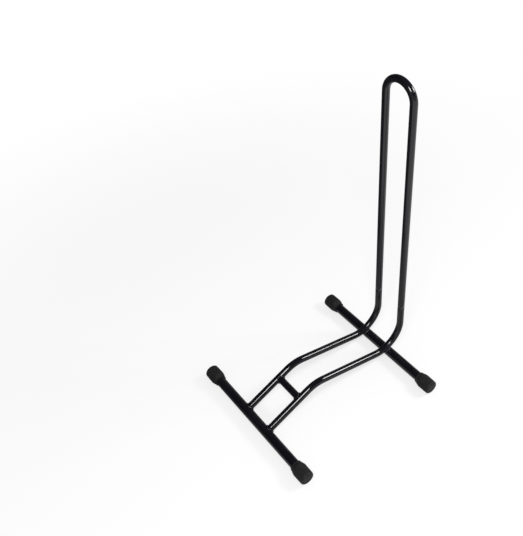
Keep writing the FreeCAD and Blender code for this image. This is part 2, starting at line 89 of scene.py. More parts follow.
FRONT_X = middle("front_cross_tube", X)
REAR_X = middle("rear_cross_tube", X)
AXIS_Z = middle("front_cross_tube", Z)
CROSS_RADIUS = extent("front_cross_tube", Z) / 2
CROSS_LENGTH = extent("front_cross_tube", Y)
TUBE_RADIUS = extent("hoop", X) / 2
LEG_X = middle("hoop", X)
LEG_Y = extent("hoop", Y) / 2 - TUBE_RADIUS
HOOP_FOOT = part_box("hoop")[0].z
HOOP_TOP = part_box("hoop")[1].z
RAIL_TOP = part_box("left_rail")[1].z
BAR_X = middle("crossbar", X)
BAR_Z = middle("crossbar", Z)
CAP_RADIUS = extent("front_left_cap", X) / 2
CAP_MOUTH_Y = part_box("front_right_cap")[0].y
CAP_LENGTH = extent("front_right_cap", Y)
SPIGOT_RADIUS = extent("left_spigot", X) / 2


def length(name, description, default):
    """A length in metres, as a property."""
    return FloatProperty(
        name=name, description=description, default=default, unit="LENGTH",
        subtype="DISTANCE", precision=5,
    )


def degrees(name, description, default):
    """An angle, given in degrees and kept in radians, as a property."""
    return FloatProperty(
        name=name, description=description, default=math.radians(default),
        subtype="ANGLE", unit="ROTATION",
    )


def number(name, description, default):
    """A whole number, as a property."""
    return IntProperty(name=name, description=description, default=default, min=8)


def colour(name, description, default):
    """A linear colour, as a property."""
    return FloatVectorProperty(
        name=name, description=description, default=default, subtype="COLOR",
        min=0, max=1,
    )


def share(name, description, default):
    """A number from 0 to 1, as a property."""
    return FloatProperty(
        name=name, description=description, default=default, min=0, max=1,
        subtype="FACTOR",
    )


class RackTubes(PropertyGroup):
    wall: length("Wall", "Thickness of every tube's wall", 1.2 * MM)
    kink_reach: length(
        "Kink reach", "Corner of the kink, behind the front tube's axis", 136.7 * MM)
    kink_height: length(
        "Kink height", "Corner of the kink, above the floor", 72.9 * MM)
    kink_radius: length("Kink radius", "Radius of the rail's kink", 70 * MM)
    bend_radius: length(
        "Bend radius", "Radius of the rail's bend up into its leg", 62 * MM)
    touch_gap: length("Touching gap", "Left between two tubes that touch", 0.03 * MM)
    bevel: length("Seam bevel", "Bevel on the ends that meet at the seam", 0.25 * MM)
    cross_bevel: length("Cross tube bevel", "Bevel on the cross tubes' ends", 0.2 * MM)
    sleeve_wall: length("Sleeve wall", "Thickness of a sleeve's wall", 1.5 * MM)
    sleeve_bevel: length("Sleeve bevel", "Bevel on a sleeve's ends", 0.5 * MM)
    flattening: share(
        "Flattening", "How much the hoop's tube is flattened by its bend", 0.02)
    around: number("Facets", "Faces round a tube", 64)


class RackVent(PropertyGroup):
    radius: length("Vent radius", "Radius of the vent hole in the rear tube", 2.5 * MM)
    offset: length(
        "Vent offset", "Vent hole, from the middle of the rear tube", 118 * MM)
    lip: length("Vent lip", "Rounding of the hole's rim", 0.6 * MM)


class RackCaps(PropertyGroup):
    mouth_radius: length("Mouth radius", "Radius of the collar at the mouth", 13.3 * MM)
    end_radius: length(
        "End radius", "Radius of the barrel at the closed end", 16.0 * MM)
    collar: length("Collar", "Straight rim at the mouth", 2 * MM)
    shoulder: length("Shoulder", "From the mouth to the full radius", 13 * MM)
    grip: length("Grip", "Depth of the bore over the tube", 36 * MM)
    clearance: length("Clearance", "Between the tube and the bore", 0.1 * MM)
    round: length("End round", "Rounding of the closed end", 4.5 * MM)
    grooves: number("Grooves", "Grooves round the barrel", 26)
    groove_width: length("Groove width", "Width of one groove", 1.8 * MM)
    groove_depth: length("Groove depth", "Depth of one groove", 0.7 * MM)
    groove_stop: length("Groove stop", "Plain band left at the closed end", 5 * MM)


class RackBeads(PropertyGroup):
    radius: length("Bead radius", "Radius of a bead's own section", 2.1 * MM)
    lift: length("Bead lift", "From a tube's surface to the bead's middle", 0.3 * MM)
    pitch: length("Ripple pitch", "From one ripple of the bead to the next", 1.35 * MM)
    ripple: share("Ripple depth", "Depth of a ripple against the bead's radius", 0.056)
    seat_radius: length(
        "Seat bead radius", "Radius of the beads on the rear tube", 2.8 * MM)
    seat_angle: degrees(
        "Seat angle", "Middle of a seat bead, off the rear tube's top", 28)
    seat_sweep: degrees(
        "Seat sweep", "Half of the angle that a seat bead runs over", 27)


class RackFinish(PropertyGroup):
    paint: colour("Paint", "Gloss black of the tubes", (0.0045, 0.0046, 0.0068))
    paint_roughness: share("Paint roughness", "Roughness of clean paint", 0.10)
    plastic: colour(
        "Cap plastic", "Dark grey of the moulded caps", (0.0110, 0.0110, 0.0113))
    plastic_roughness: share("Plastic roughness", "Roughness of the moulded caps", 0.52)
    steel: colour("Bare steel", "Sleeves inside the joint", (0.56, 0.55, 0.53))
    steel_roughness: share("Steel roughness", "Roughness of the sleeves", 0.28)
    film: colour("Film", "Oily film on the sleeves", (0.40, 0.375, 0.34))
    pits: colour("Pits", "Specks of rust on the sleeves", (0.12, 0.085, 0.06))
    dust: colour("Dust", "Settled dust and scuffs", (0.19, 0.185, 0.175))


class RackStage(PropertyGroup):
    azimuth: degrees("Azimuth", "Camera's heading, 0 looks along +Y", -36.107)
    elevation: degrees("Elevation", "Camera above the horizon", 40.132)
    roll: degrees("Roll", "Camera turned about its own view", -2.991)
    place: FloatVectorProperty(
        name="Camera place", description="Where the camera stands",
        default=(-0.6745, -0.8710, 1.4149), subtype="TRANSLATION", unit="LENGTH")
    focal_pixels: FloatProperty(
        name="Focal length in pixels", description="Against the photo's own size",
        default=754.97)
    shift_pixels: FloatVectorProperty(
        name="Shift in pixels", description="Picture's middle, right and down",
        size=2, default=(40.78, -46.82))
    floor_radius: length("Floor radius", "Radius of the round floor", 9.0)
    floor: colour("Floor", "Pale floor", (0.9, 0.9, 0.9))
    ambient: share("Ambient light", "Strength of the surrounding light", 0.42)
    key_share: share("Key light", "Share of plain white that the key lamp adds", 0.37)
    key_size: length("Key size", "Side of the key lamp", 0.6)
    back_share: share(
        "Back light", "Share of plain white that the back lamp adds", 0.20)
    back_size: length("Back size", "Side of the back lamp", 0.5)
    near_white: share("Near white", "Whiteness of the floor by the rack, as seen", 0.66)
    # painted shade: the floor's glow by the rack, as mirrored in the paint, is dimmed
    # to this
    painted_shade_near_mirror: share("Near mirror", "Brightness of the near floor in the paint", 0.5)
    horizon_mirror: share(
        "Horizon mirror", "Brightness of the walls in the paint", 0.45)
    ceiling_mirror: share(
        "Ceiling mirror", "Brightness of the ceiling in the paint", 0.05)
    shade_heading: degrees("Shade heading", "Way to the dark side, from +X to +Y", 118)
    # on the floor this darkening is painted shade; in the world it is dim surroundings
    shade_depth: share("Shade depth", "How dark that side is in the paint", 0.93)


GROUPS = {
    "rack_tubes": RackTubes, "rack_vent": RackVent, "rack_caps": RackCaps,
    "rack_beads": RackBeads, "rack_finish": RackFinish, "rack_stage": RackStage,
}


# ------------------------------------------------------------ surface tools

def grid_quads(rows, columns, wrap_rows, wrap_columns):
    """Corner numbers of the quads of a grid of points, row after row."""
    down = np.arange(rows if wrap_rows else rows - 1)
    over = np.arange(columns if wrap_columns else columns - 1)
    row, column = np.meshgrid(down, over, indexing="ij")
    next_row, next_column = (row + 1) % rows, (column + 1) % columns
    corners = [
        row * columns + column, row * columns + next_column,
        next_row * columns + next_column, next_row * columns + column,
    ]
    return np.stack(corners, axis=-1).reshape(-1, 4)


def join(*parts):
    """Several (points, quads) as one."""
    shifts = np.cumsum([0] + [len(points) for points, _ in parts[:-1]])
    points = np.concatenate([points for points, _ in parts])
    quads = np.concatenate([quads + n for (_, quads), n in zip(parts, shifts)])
    return points, quads


def weld(points, quads):
    """Merges points that fall together and splits off pinched quads.

    A quad with two corners in one place becomes a triangle. The last result
    gives, for each point kept, its number among the points passed in.
    """
    keys = np.round(points / MERGE_WITHIN).astype(np.int64)
    _, first, index = np.unique(keys, axis=0, return_index=True, return_inverse=True)
    quads = index.reshape(-1)[quads]
    same = quads == np.roll(quads, -1, axis=1)
    whole = quads[same.sum(axis=1) == 0]
    pinched = quads[same.sum(axis=1) == 1]
    pinch = same[same.sum(axis=1) == 1]
    triangles = pinched[~pinch].reshape(-1, 3)
    corners = np.concatenate([whole.ravel(), triangles.ravel()])
    used, renumbered = np.unique(corners, return_inverse=True)
    whole, triangles = np.split(renumbered.reshape(-1), [whole.size])
    kept = first[used]
    return points[kept], whole.reshape(-1, 4), triangles.reshape(-1, 3), kept


def check_closed(name, whole, triangles):
    """Raises unless each edge is walked once each way: closed, and one-sided."""
    edges = np.concatenate([
        np.stack([faces, np.roll(faces, -1, axis=1)], axis=-1).reshape(-1, 2)
        for faces in (whole, triangles)
    ]).astype(np.int64)
    size = edges.max() + 1
    forth = np.sort(edges[:, 0] * size + edges[:, 1])
    back = np.sort(edges[:, 1] * size + edges[:, 0])
    if len(np.unique(forth)) != len(forth) or not np.array_equal(forth, back):
        raise RuntimeError(f"{name} isn't a closed surface")


def volume(points, whole, triangles):
    """Signed volume of a closed surface: a sixth of the sum of a . (b x c)."""
    fans = np.concatenate([whole[:, [0, 1, 2]], whole[:, [0, 2, 3]], triangles])
    a, b, c = (points[fans[:, k]] for k in range(3))
    return np.einsum("ij,ij->i", a, np.cross(b, c)).sum() / 6


def add_piece(name, surface, body, node, slot, marks=None):
    """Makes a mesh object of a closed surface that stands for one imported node.

    marks holds one number for each point, kept as the attribute "mark".
    """
    points, whole, triangles, kept = weld(*surface)
    check_closed(name, whole, triangles)
    if volume(points, whole, triangles) < 0:
        whole, triangles = whole[:, ::-1], triangles[:, ::-1]
    mesh = bpy.data.meshes.new(name)
    mesh.vertices.add(len(points))
    mesh.vertices.foreach_set("co", points.astype(np.float32).ravel())
    corners = np.concatenate([whole.ravel(), triangles.ravel()])
    sizes = np.repeat([4, 3], [len(whole), len(triangles)])
    mesh.loops.add(len(corners))
    mesh.loops.foreach_set("vertex_index", corners.astype(np.int32))
    mesh.polygons.add(len(sizes))
    starts = np.concatenate([[0], np.cumsum(sizes)[:-1]])
    mesh.polygons.foreach_set("loop_start", starts.astype(np.int32))
    mesh.polygons.foreach_set("use_smooth", np.ones(len(sizes), bool))
    if marks is not None:
        mark = mesh.attributes.new("mark", "FLOAT", "POINT")
        mark.data.foreach_set("value", marks[kept].astype(np.float32))
    mesh.update(calc_edges=True)
    if mesh.validate():
        raise RuntimeError(f"{name} has bad faces")
    piece = bpy.data.objects.new(name, mesh)
    bpy.context.scene.collection.objects.link(piece)
    mesh.materials.append(shared_material(slot))
    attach(piece, body)
    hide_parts(node)


def smooth_step(low, high, value):
    """0 below low, 1 above high, and 3t^2 - 2t^3 between."""
    t = np.clip((value - low) / (high - low), 0, 1)
    return t * t * (3 - 2 * t)


# -------------------------------------------------------------------- tubes

class Route:
    """A flat path of straight runs and arcs that never kinks.

    Each stretch has a length and a curvature and starts at the last one's
    end, with its heading. A point on a stretch is its start plus a chord: the
    way gone, times sin(h) / h, where h is half the turn made since the
    start, laid along the start's heading turned by h.
    """

    def __init__(self, start, heading, stretches):
        self.stretches = stretches
        self.starts, self.headings, self.corners = [0.0], [heading], [start]
        for run, bend in stretches:
            half = bend * run / 2
            chord = run * np.sinc(half / math.pi)
            toward = self.headings[-1] + half
            across, up = self.corners[-1]
            self.corners.append(
                (across + chord * math.cos(toward), up + chord * math.sin(toward))
            )
            self.starts.append(self.starts[-1] + run)
            self.headings.append(self.headings[-1] + bend * run)
        self.length = self.starts[-1]

    def at(self, distance):
        """Across, up and heading, at each of an array of distances."""
        last = len(self.stretches) - 1
        index = np.searchsorted(self.starts, distance, side="right") - 1
        index = np.clip(index, 0, last)
        gone = distance - np.array(self.starts)[index]
        half = np.array([bend for _, bend in self.stretches])[index] * gone / 2
        begin = np.array(self.headings)[index]
        corner = np.array(self.corners)[index]
        chord = gone * np.sinc(half / math.pi)
        across = corner[..., 0] + chord * np.cos(begin + half)
        up = corner[..., 1] + chord * np.sin(begin + half)
        return across, up, begin + 2 * half

    def bend_share(self, distance, reach):
        """1 on the arcs and 0 on the runs, eased over a reach at each join."""
        total = np.zeros_like(distance)
        for begin, (run, bend) in zip(self.starts, self.stretches):
            if bend:
                total += smooth_step(-reach, reach, distance - begin)
                total -= smooth_step(-reach, reach, distance - begin - run)
        return total

    def stations(self, run_step=8 * MM, arc_step=2 * MM):
        """Distances for rings: close together on arcs, wide apart on runs."""
        parts = []
        for begin, (run, bend) in zip(self.starts, self.stretches):
            count = max(2, round(run / (arc_step if bend else run_step)))
            parts.append(begin + run * np.arange(count) / count)
        return np.concatenate(parts + [[self.length]])


class Plane:
    """Where a flat route lies in the rack: an origin and three directions."""

    def __init__(self, origin, across, up, out):
        self.origin, self.across, self.up, self.out = (
            np.array(v, float) for v in (origin, across, up, out)
        )

    def points(self, route, distance, angle, radius, oval=0.0):
        """Points round a route, turned by angle from its inner side.

        The point at a distance is the route's point, plus radius cos(angle)
        along the normal in the plane and radius sin(angle) out of the plane.
        An oval above 0 flattens the section in the plane and widens it across.
        """
        across, up, heading = route.at(distance)
        inside = radius * np.cos(angle) * (1 - oval)
        outside = radius * np.sin(angle) * (1 + oval / 2)
        across = across - np.sin(heading) * inside
        up = up + np.cos(heading) * inside
        return (
            self.origin + across[..., None] * self.across
            + up[..., None] * self.up + outside[..., None] * self.out
        )


def upright_plane(y):
    """Plane of a rail: X across and Z up."""
    return Plane((0, y, 0), (1, 0, 0), (0, 0, 1), (0, 1, 0))


def cross_plane(x, z=0.0):
    """Plane of the hoop or of a cross tube: Y across and Z up."""
    return Plane((x, 0, z), (0, 1, 0), (0, 0, 1), (1, 0, 0))


CUT_EDGE = 0.02 * MM               # bevel on an end that has no other
BEND_EASE = 12 * MM                # half the way over which a tube turns oval
COPE_FADE = 3                      # radii over which a cope fades out


def tube_wall(
    plane, route, outer, wall, around, bevel=CUT_EDGE, copes=(0, 0), flattening=0.0,
    stations=None, window=None,
):
    """The whole skin of a tube: outside, both rims and bore, as one surface.

    Its section along the tube is a closed line of (distance, radius) carried
    round by the angle. A coped end follows the surface of the tube that it
    meets: there the distance grows by sqrt(R^2 - (r cos angle)^2), which
    fades to nothing over some of that tube's radii. A window, given as
    middle and half sizes of distance and angle, is left open.
    """
    inner, lip = outer - wall, min(bevel, wall / 3)
    steps = route.stations() if stations is None else stations
    far = steps[-1]
    outside = np.clip(steps, lip, far - lip)
    distance = np.concatenate([
        outside, [far, far], outside[::-1], [0, 0],
    ])
    radius = np.concatenate([
        np.full(len(steps), outer), [outer - lip, inner + lip / 2],
        np.full(len(steps), inner), [inner + lip / 2, outer - lip],
    ])
    angle = TURN * np.arange(around) / around
    rows, columns = len(distance), around
    distance, radius = distance[:, None], radius[:, None]
    near_cope, far_cope = copes
    moved = distance + np.zeros((1, around))
    for cope, sign, gone in (
        (near_cope, 1, distance), (far_cope, -1, far - distance),
    ):
        if cope:
            depth = np.sqrt(np.maximum(cope**2 - (radius * np.cos(angle)) ** 2, 0))
            moved = moved + sign * depth * np.clip(1 - gone / (COPE_FADE * cope), 0, 1)
    oval = flattening * route.bend_share(moved, BEND_EASE)
    points = plane.points(route, moved, angle, radius, oval)
    quads = grid_quads(rows, columns, True, True)
    if window:
        mid_distance, half_distance, mid_angle, half_angle = window
        next_distance = np.roll(distance[:, 0], -1)
        cell_distance = (distance[:, 0] + next_distance) / 2
        cell_angle = angle + TURN / around / 2
        turned = (cell_angle - mid_angle + math.pi) % TURN - math.pi
        inside = (
            (np.abs(cell_distance - mid_distance) < half_distance)[:, None]
            & (np.abs(turned) < half_angle)[None, :]
        )
        quads = quads[~inside.ravel()]
    return points.reshape(-1, 3), quads


def rail_climb(tubes):
    """Slope of a rail's front run, and the ways along it and square above it."""
    climb = math.atan2(tubes.kink_height - AXIS_Z, tubes.kink_reach)
    along = np.array([math.cos(climb), 0, math.sin(climb)])
    above = np.array([-math.sin(climb), 0, math.cos(climb)])
    return climb, along, above


def bend_centre(tubes):
    """X and Z of the centre of a rail's bend, which rests on the rear tube."""
    seat = tubes.bend_radius + TUBE_RADIUS + CROSS_RADIUS + tubes.touch_gap
    across = LEG_X - tubes.bend_radius
    return across, AXIS_Z + math.sqrt(seat**2 - (REAR_X - across) ** 2)


def rail_route(tubes):
    """A rail's middle line in its upright plane, front axis to open end.

    The run between kink and bend leaves the line from the kink's corner to
    the bend's centre, of length d, by the angle asin(bend radius / d). The
    kink takes its radius times tan(half its turn) off the run on each side.
    """
    bend_x, bend_z = bend_centre(tubes)
    climb, _, _ = rail_climb(tubes)
    rise = tubes.kink_height - AXIS_Z
    dx, dz = bend_x - FRONT_X - tubes.kink_reach, bend_z - tubes.kink_height
    away = math.hypot(dx, dz)
    fall = math.atan2(dz, dx) - math.asin(tubes.bend_radius / away)
    setback = tubes.kink_radius * math.tan((climb - fall) / 2)
    return Route((FRONT_X, AXIS_Z), climb, [
        (math.hypot(tubes.kink_reach, rise) - setback, 0),
        (tubes.kink_radius * (climb - fall), -1 / tubes.kink_radius),
        (math.sqrt(away**2 - tubes.bend_radius**2) - setback, 0),
        (tubes.bend_radius * (math.pi / 2 - fall), 1 / tubes.bend_radius),
        (RAIL_TOP - bend_z, 0),
    ])


def hoop_route():
    """The hoop's middle line: up one leg, round the top and down the other."""
    leg = HOOP_TOP - TUBE_RADIUS - LEG_Y - HOOP_FOOT
    return Route(
        (-LEG_Y, HOOP_FOOT), math.pi / 2,
        [(leg, 0), (math.pi * LEG_Y, -1 / LEG_Y), (leg, 0)],
    )


def straight_route(start, run):
    """A straight line across."""
    return Route((start, 0.0), 0.0, [(run, 0)])


def vented_tube(tubes, vent):
    """The rear cross tube with a round vent hole in its top.

    A square window, some grid cells wide, is left open in the outer and the
    inner wall. Rings of points blend from the window's edge to the hole:
    point = (1 - t) circle + t square, in distance and angle. Rows down the
    hole's wall join the two.
    """
    plane = cross_plane(REAR_X, AXIS_Z)
    start = -CROSS_LENGTH / 2
    route = straight_route(start, CROSS_LENGTH)
    cells, steps_before, steps_after = 8, 8, 30
    half_angle = cells / 2 * TURN / tubes.around
    half = half_angle * CROSS_RADIUS
    hole = -vent.offset - start
    steps = np.concatenate([
        np.linspace(0, hole - half, steps_before)[:-1],
        hole + half * np.linspace(-1, 1, cells + 1),
        np.linspace(hole + half, CROSS_LENGTH, steps_after)[1:],
    ])
    skin = tube_wall(
        plane, route, CROSS_RADIUS, tubes.wall, tubes.around, tubes.cross_bevel,
        stations=steps, window=(hole, half, 0, half_angle),
    )
    side = np.linspace(-1, 1, cells + 1)[:-1]
    one = np.ones(cells)
    edge_over = np.concatenate([side, one, -side, -one])
    edge_along = np.concatenate([-one, side, one, -side])
    turn = np.arctan2(edge_along, edge_over)

    def circle(radius, depth_radius):
        """Distance and angle of a circle drilled straight down."""
        return (
            hole + radius * np.sin(turn),
            np.arcsin(radius * np.cos(turn) / depth_radius),
        )

    def patch(radius, depth_radius):
        """Rings from the window's edge to a circle, on one wall of the tube."""
        ring_distance, ring_angle = circle(radius, depth_radius)
        t = np.array([1, 0.75, 0.5, 0.25, 0.1, 0])[:, None]
        distance = (1 - t) * ring_distance + t * (hole + half * edge_along)
        angle = (1 - t) * ring_angle + t * half_angle * edge_over
        return distance, angle, np.full_like(angle, depth_radius)

    # shares of the lip by which its rows are wider than the hole, and sunk
    lip_rows = [(0.35, 0.1), (0.08, 0.4), (0, 1)]
    outer_patch = patch(vent.radius + vent.lip, CROSS_RADIUS)
    inner_patch = [part[::-1] for part in patch(vent.radius, CROSS_RADIUS - tubes.wall)]
    wall = []
    for wider, sunk in lip_rows:
        depth = CROSS_RADIUS - sunk * vent.lip
        ring = circle(vent.radius + wider * vent.lip, depth)
        wall.append((*ring, np.full(len(turn), depth)))
    stack = [
        np.concatenate([outer, np.array(rows), within])
        for outer, rows, within in zip(outer_patch, zip(*wall), inner_patch)
    ]
    points = plane.points(route, *stack)
    quads = grid_quads(*stack[0].shape, False, True)
    return join(skin, (points.reshape(-1, 3), quads))


def coped_bar(tubes):
    """The crossbar, coped onto both rails, on their slope."""
    _, along, above = rail_climb(tubes)
    plane = Plane((BAR_X, 0, BAR_Z), (0, 1, 0), above, along)
    route = straight_route(-LEG_Y, 2 * LEG_Y)
    reach, rings = TUBE_RADIUS + tubes.touch_gap, 41
    return tube_wall(
        plane, route, TUBE_RADIUS, tubes.wall, tubes.around,
        copes=(reach, reach), stations=np.linspace(0, 2 * LEG_Y, rings),
    )


# --------------------------------------------------------------------- caps

CAP_RIM = 0.5 * MM                 # rounding of both edges of the mouth
RUN_OUT = 1.4 * MM                 # length over which a groove runs out
GATE_RADIUS = 1.7 * MM             # round mark in the middle of the closed end
GATE_DEPTH = 0.25 * MM


def cap_profile(caps):
    """The cap's half section as rows of (distance from the mouth, radius).

    It runs from the middle of the bore's floor, out over the mouth, collar,
    shoulder and barrel, and in over the rounded end to the gate mark. Between
    the shoulder's cone and the barrel it follows the curve
    (1 - u)^2 start + 2 u (1 - u) apex + u^2 stop. The second result is how
    many of the rows lie inside the bore and the mouth.
    """
    def rows(distance, radius):
        """Rows of a run, of which either number may stay the same."""
        return np.stack(np.broadcast_arrays(distance, radius), axis=-1)

    bore, grip, end = CROSS_RADIUS + caps.clearance, caps.grip, CAP_LENGTH
    corner = np.radians(np.linspace(0, 90, 7))
    near, far = CAP_RIM * (1 - np.sin(corner)), CAP_RIM * (1 - np.cos(corner))
    inside = np.array([
        (grip, 0), (grip, bore / 2), (grip, bore - CAP_RIM / 2),
        (grip - CAP_RIM / 2, bore), (grip / 2, bore), (CAP_RIM, bore),
    ])
    mouth = rows(near[1:], bore + far[1:])
    face = rows(far, caps.mouth_radius - near)
    # the crease is how far the rows at the collar's edge stand from it, and the
    # ease is how far the cone's curve reaches from the shoulder's corner
    crease, ease = (-0.4 * MM, 0.3 * MM), 2.2 * MM
    collar = rows([caps.collar + crease[0]], caps.mouth_radius)
    steepness = (CAP_RADIUS - caps.mouth_radius) / (caps.shoulder - caps.collar)
    gone = np.linspace(caps.collar + crease[1], caps.shoulder - ease, 12)
    cone = rows(gone, caps.mouth_radius + steepness * (gone - caps.collar))
    slope = (CAP_RADIUS - caps.end_radius) / (end - caps.shoulder)
    start, apex = cone[-1], np.array([caps.shoulder, CAP_RADIUS])
    stop = apex + np.array([ease, -slope * ease])
    u = np.linspace(0, 1, 9)[1:, None]
    shoulder = (1 - u) ** 2 * start + 2 * u * (1 - u) * apex + u**2 * stop
    # close rows where the grooves run out
    groove_end, margin = end - caps.groove_stop, (0.2 * MM, 0.1 * MM)
    gone = np.concatenate([
        np.linspace(shoulder[-1, 0], groove_end - RUN_OUT - margin[0], 9)[1:],
        np.linspace(groove_end - RUN_OUT, groove_end + margin[1], 8),
        [end - caps.round],
    ])
    barrel = rows(gone, CAP_RADIUS - slope * (gone - caps.shoulder))
    corner = np.radians(np.linspace(10, 90, 9))
    rounding = rows(
        end - caps.round * (1 - np.sin(corner)),
        barrel[-1, 1] - caps.round * (1 - np.cos(corner)),
    )
    flat = rounding[-1, 1]
    closed = np.array([
        (end, flat * 0.75), (end, flat * 0.45), (end, GATE_RADIUS + 0.3 * MM),
        (end - 0.12 * MM, GATE_RADIUS),
        (end - GATE_DEPTH, GATE_RADIUS - GATE_DEPTH), (end - GATE_DEPTH, 0),
    ])
    profile = np.concatenate([
        inside, mouth, face, collar, cone, shoulder, barrel, rounding, closed,
    ])
    return profile, len(inside) + len(mouth)


def ribbed_cap(caps, x, side):
    """A moulded cap: the half section turned, less its grooves and its flat.

    Round the barrel the radius is the section's less the depth of a groove,
    wherever the section stands above the groove's floor. Across a groove the
    depth follows a smooth step, and at its closed end it falls as the root of
    the way left. What lies lower than the floor is pressed up to it.

    Besides the surface it gives each point's share of a groove's full depth.
    """
    profile, outside_from = cap_profile(caps)
    pitch = TURN / caps.grooves
    # columns stand this far off a groove's middle, close on its flanks
    offsets = np.array([0, 0.35, 0.5, 0.62, 0.74, 0.86, 1.0, 1.3]) * MM
    rib_middle = CAP_RADIUS * pitch / 2
    offsets = np.concatenate([-offsets[:0:-1], offsets, [rib_middle]]) / CAP_RADIUS
    angle = (pitch * np.arange(caps.grooves)[:, None] + offsets).ravel()
    across = np.abs(np.tile(offsets, caps.grooves)) * CAP_RADIUS
    half, flank = caps.groove_width / 2, (-0.3 * MM, 0.15 * MM)
    opening = 1 - smooth_step(half + flank[0], half + flank[1], across)
    distance, radius = profile[:, :1], profile[:, 1:]
    stop = CAP_LENGTH - caps.groove_stop
    slope = (CAP_RADIUS - caps.end_radius) / (stop - caps.shoulder)
    beyond = np.maximum(distance - caps.shoulder, 0)
    floor = CAP_RADIUS - caps.groove_depth - slope * beyond
    run_out = np.sqrt(np.clip((stop - distance) / RUN_OUT, 0, 1))
    depth = np.maximum(radius - floor, 0) * run_out
    depth[:outside_from] = 0
    turned = radius - depth * opening
    mark = np.broadcast_to(depth / caps.groove_depth * opening, turned.shape)
    points = np.stack([
        x + turned * np.cos(angle),
        side * (CAP_MOUTH_Y + distance) + 0 * angle,
        AXIS_Z + turned * np.sin(angle),
    ], axis=-1)
    points[..., Z] = np.maximum(points[..., Z], 0)
    quads = grid_quads(*turned.shape, False, True)
    return (points.reshape(-1, 3), quads), mark.ravel()


# -------------------------------------------------------------------- beads

BEAD_SIDES = 28                    # faces round a bead
BEAD_STEPS = 400                   # and along a closed one
SEAT_STEPS = 90
CRESCENT = 0.9                     # radians by which a ripple's sides lag
WANDER = ((0.04, 3, 1), (0.03, 7, 2))  # size, waves and phase of its wandering
BLUNTNESS = 5                      # power that rounds the ends of an open bead


def bead(middle_line, outward, radius, beads, closed):
    """A rippled bead along a line, and how far each point is in a ripple's dip.

    Its section is a circle about the line. Its radius swells and pinches as
    |cos| of the way gone over the pitch, with the phase drawn back at the
    sides so that each ripple is a crescent, and wanders slowly along.
    """
    ahead = np.roll(middle_line, -1, axis=0) - np.roll(middle_line, 1, axis=0)
    if not closed:
        ahead = np.gradient(middle_line, axis=0)
    ahead /= np.linalg.norm(ahead, axis=1, keepdims=True)
    up = outward - np.sum(outward * ahead, axis=1, keepdims=True) * ahead
    up /= np.linalg.norm(up, axis=1, keepdims=True)
    aside = np.cross(ahead, up)
    steps = np.linalg.norm(np.diff(middle_line, axis=0), axis=1)
    gone = np.concatenate([[0], np.cumsum(steps)])
    total = gone[-1]
    if closed:
        total += np.linalg.norm(middle_line[0] - middle_line[-1])
    ripples = max(3, round(total / beads.pitch))
    angle = TURN * np.arange(BEAD_SIDES) / BEAD_SIDES
    way = TURN * gone[:, None] / total
    phase = ripples * way / 2 + CRESCENT * (1 - np.cos(angle))
    dip = 1 - np.abs(np.cos(phase))
    wander = 1 + sum(part * np.sin(waves * way + at) for part, waves, at in WANDER)
    size = radius * (1 - beads.ripple * dip) * wander
    if not closed:
        off_middle = np.abs(way / math.pi - 1)
        size = size * np.sqrt(np.maximum(1 - off_middle**BLUNTNESS, 0))
    cosine, sine = np.cos(angle)[:, None], np.sin(angle)[:, None]
    section = cosine * up[:, None] + sine * aside[:, None]
    points = middle_line[:, None] + size[..., None] * section
    quads = grid_quads(len(middle_line), len(angle), closed, True)
    return (points.reshape(-1, 3), quads), dip.ravel()


def saddle_bead(origin, along, above, out, tube, other, radius, beads):
    """A bead round a tube where it runs into another of radius other.

    The line keeps a lift from the tube's surface and 1.8 times as much from
    the other's. At an angle a round the tube it lies tube + lift from the
    tube's axis and, along the tube, at
    sqrt((other + 1.8 lift)^2 - ((tube + lift) cos a)^2) from the other's axis.
    """
    angle = TURN * np.arange(BEAD_STEPS) / BEAD_STEPS
    ring = tube + beads.lift
    reach = other + 1.8 * beads.lift
    distance = np.sqrt(reach**2 - (ring * np.cos(angle)) ** 2)
    radial = np.cos(angle)[:, None] * above + np.sin(angle)[:, None] * out
    line = origin + distance[:, None] * along + ring * radial
    from_other = distance[:, None] * along + (ring * np.cos(angle))[:, None] * above
    from_other /= np.linalg.norm(from_other, axis=1, keepdims=True)
    return bead(line, radial + from_other, radius, beads, closed=True)


def seat_bead(tubes, beads, side, outward):
    """A bead beside a rail where its bend lies on the rear cross tube.

    The line goes round the cross tube, a quarter of the bead's radius off its
    surface. Its way out from the rail's plane is sqrt(q^2 - d^2), where q is
    the rail's radius plus 0.7 of the bead's, and d is how far the line's
    point in that plane lies outside the bend's middle line.
    """
    bend_x, bend_z = bend_centre(tubes)
    angle = beads.seat_angle + beads.seat_sweep * np.linspace(-1, 1, SEAT_STEPS)
    around = CROSS_RADIUS + 0.25 * beads.seat_radius
    x = REAR_X - around * np.sin(angle)
    z = AXIS_Z + around * np.cos(angle)
    off = np.hypot(x - bend_x, z - bend_z) - tubes.bend_radius
    reach, least = TUBE_RADIUS + 0.7 * beads.seat_radius, 3 * MM
    aside = np.sqrt(np.maximum(reach**2 - off**2, least**2))
    line = np.stack([x, side * LEG_Y + outward * aside, z], axis=1)
    away = np.stack([
        -np.sin(angle), np.full_like(x, outward), np.cos(angle),
    ], axis=1)
    return bead(line, away, beads.seat_radius, beads, closed=False)


# ---------------------------------------------------------------- materials

class Value:
    """A node's output that can be used in arithmetic.

    Each operator adds a Math node and gives its output.
    """

    def __init__(self, shader, socket):
        self.shader, self.socket = shader, socket

    def math(self, operation, *inputs):
        return self.shader.add(
            "ShaderNodeMath", {"operation": operation}, dict(enumerate(inputs)))

    def __add__(self, other):
        return self.math("ADD", self, other)

    def __sub__(self, other):
        return self.math("SUBTRACT", self, other)

    def __rsub__(self, other):
        return self.math("SUBTRACT", other, self)

    def __mul__(self, other):
        return self.math("MULTIPLY", self, other)

    __radd__, __rmul__ = __add__, __mul__


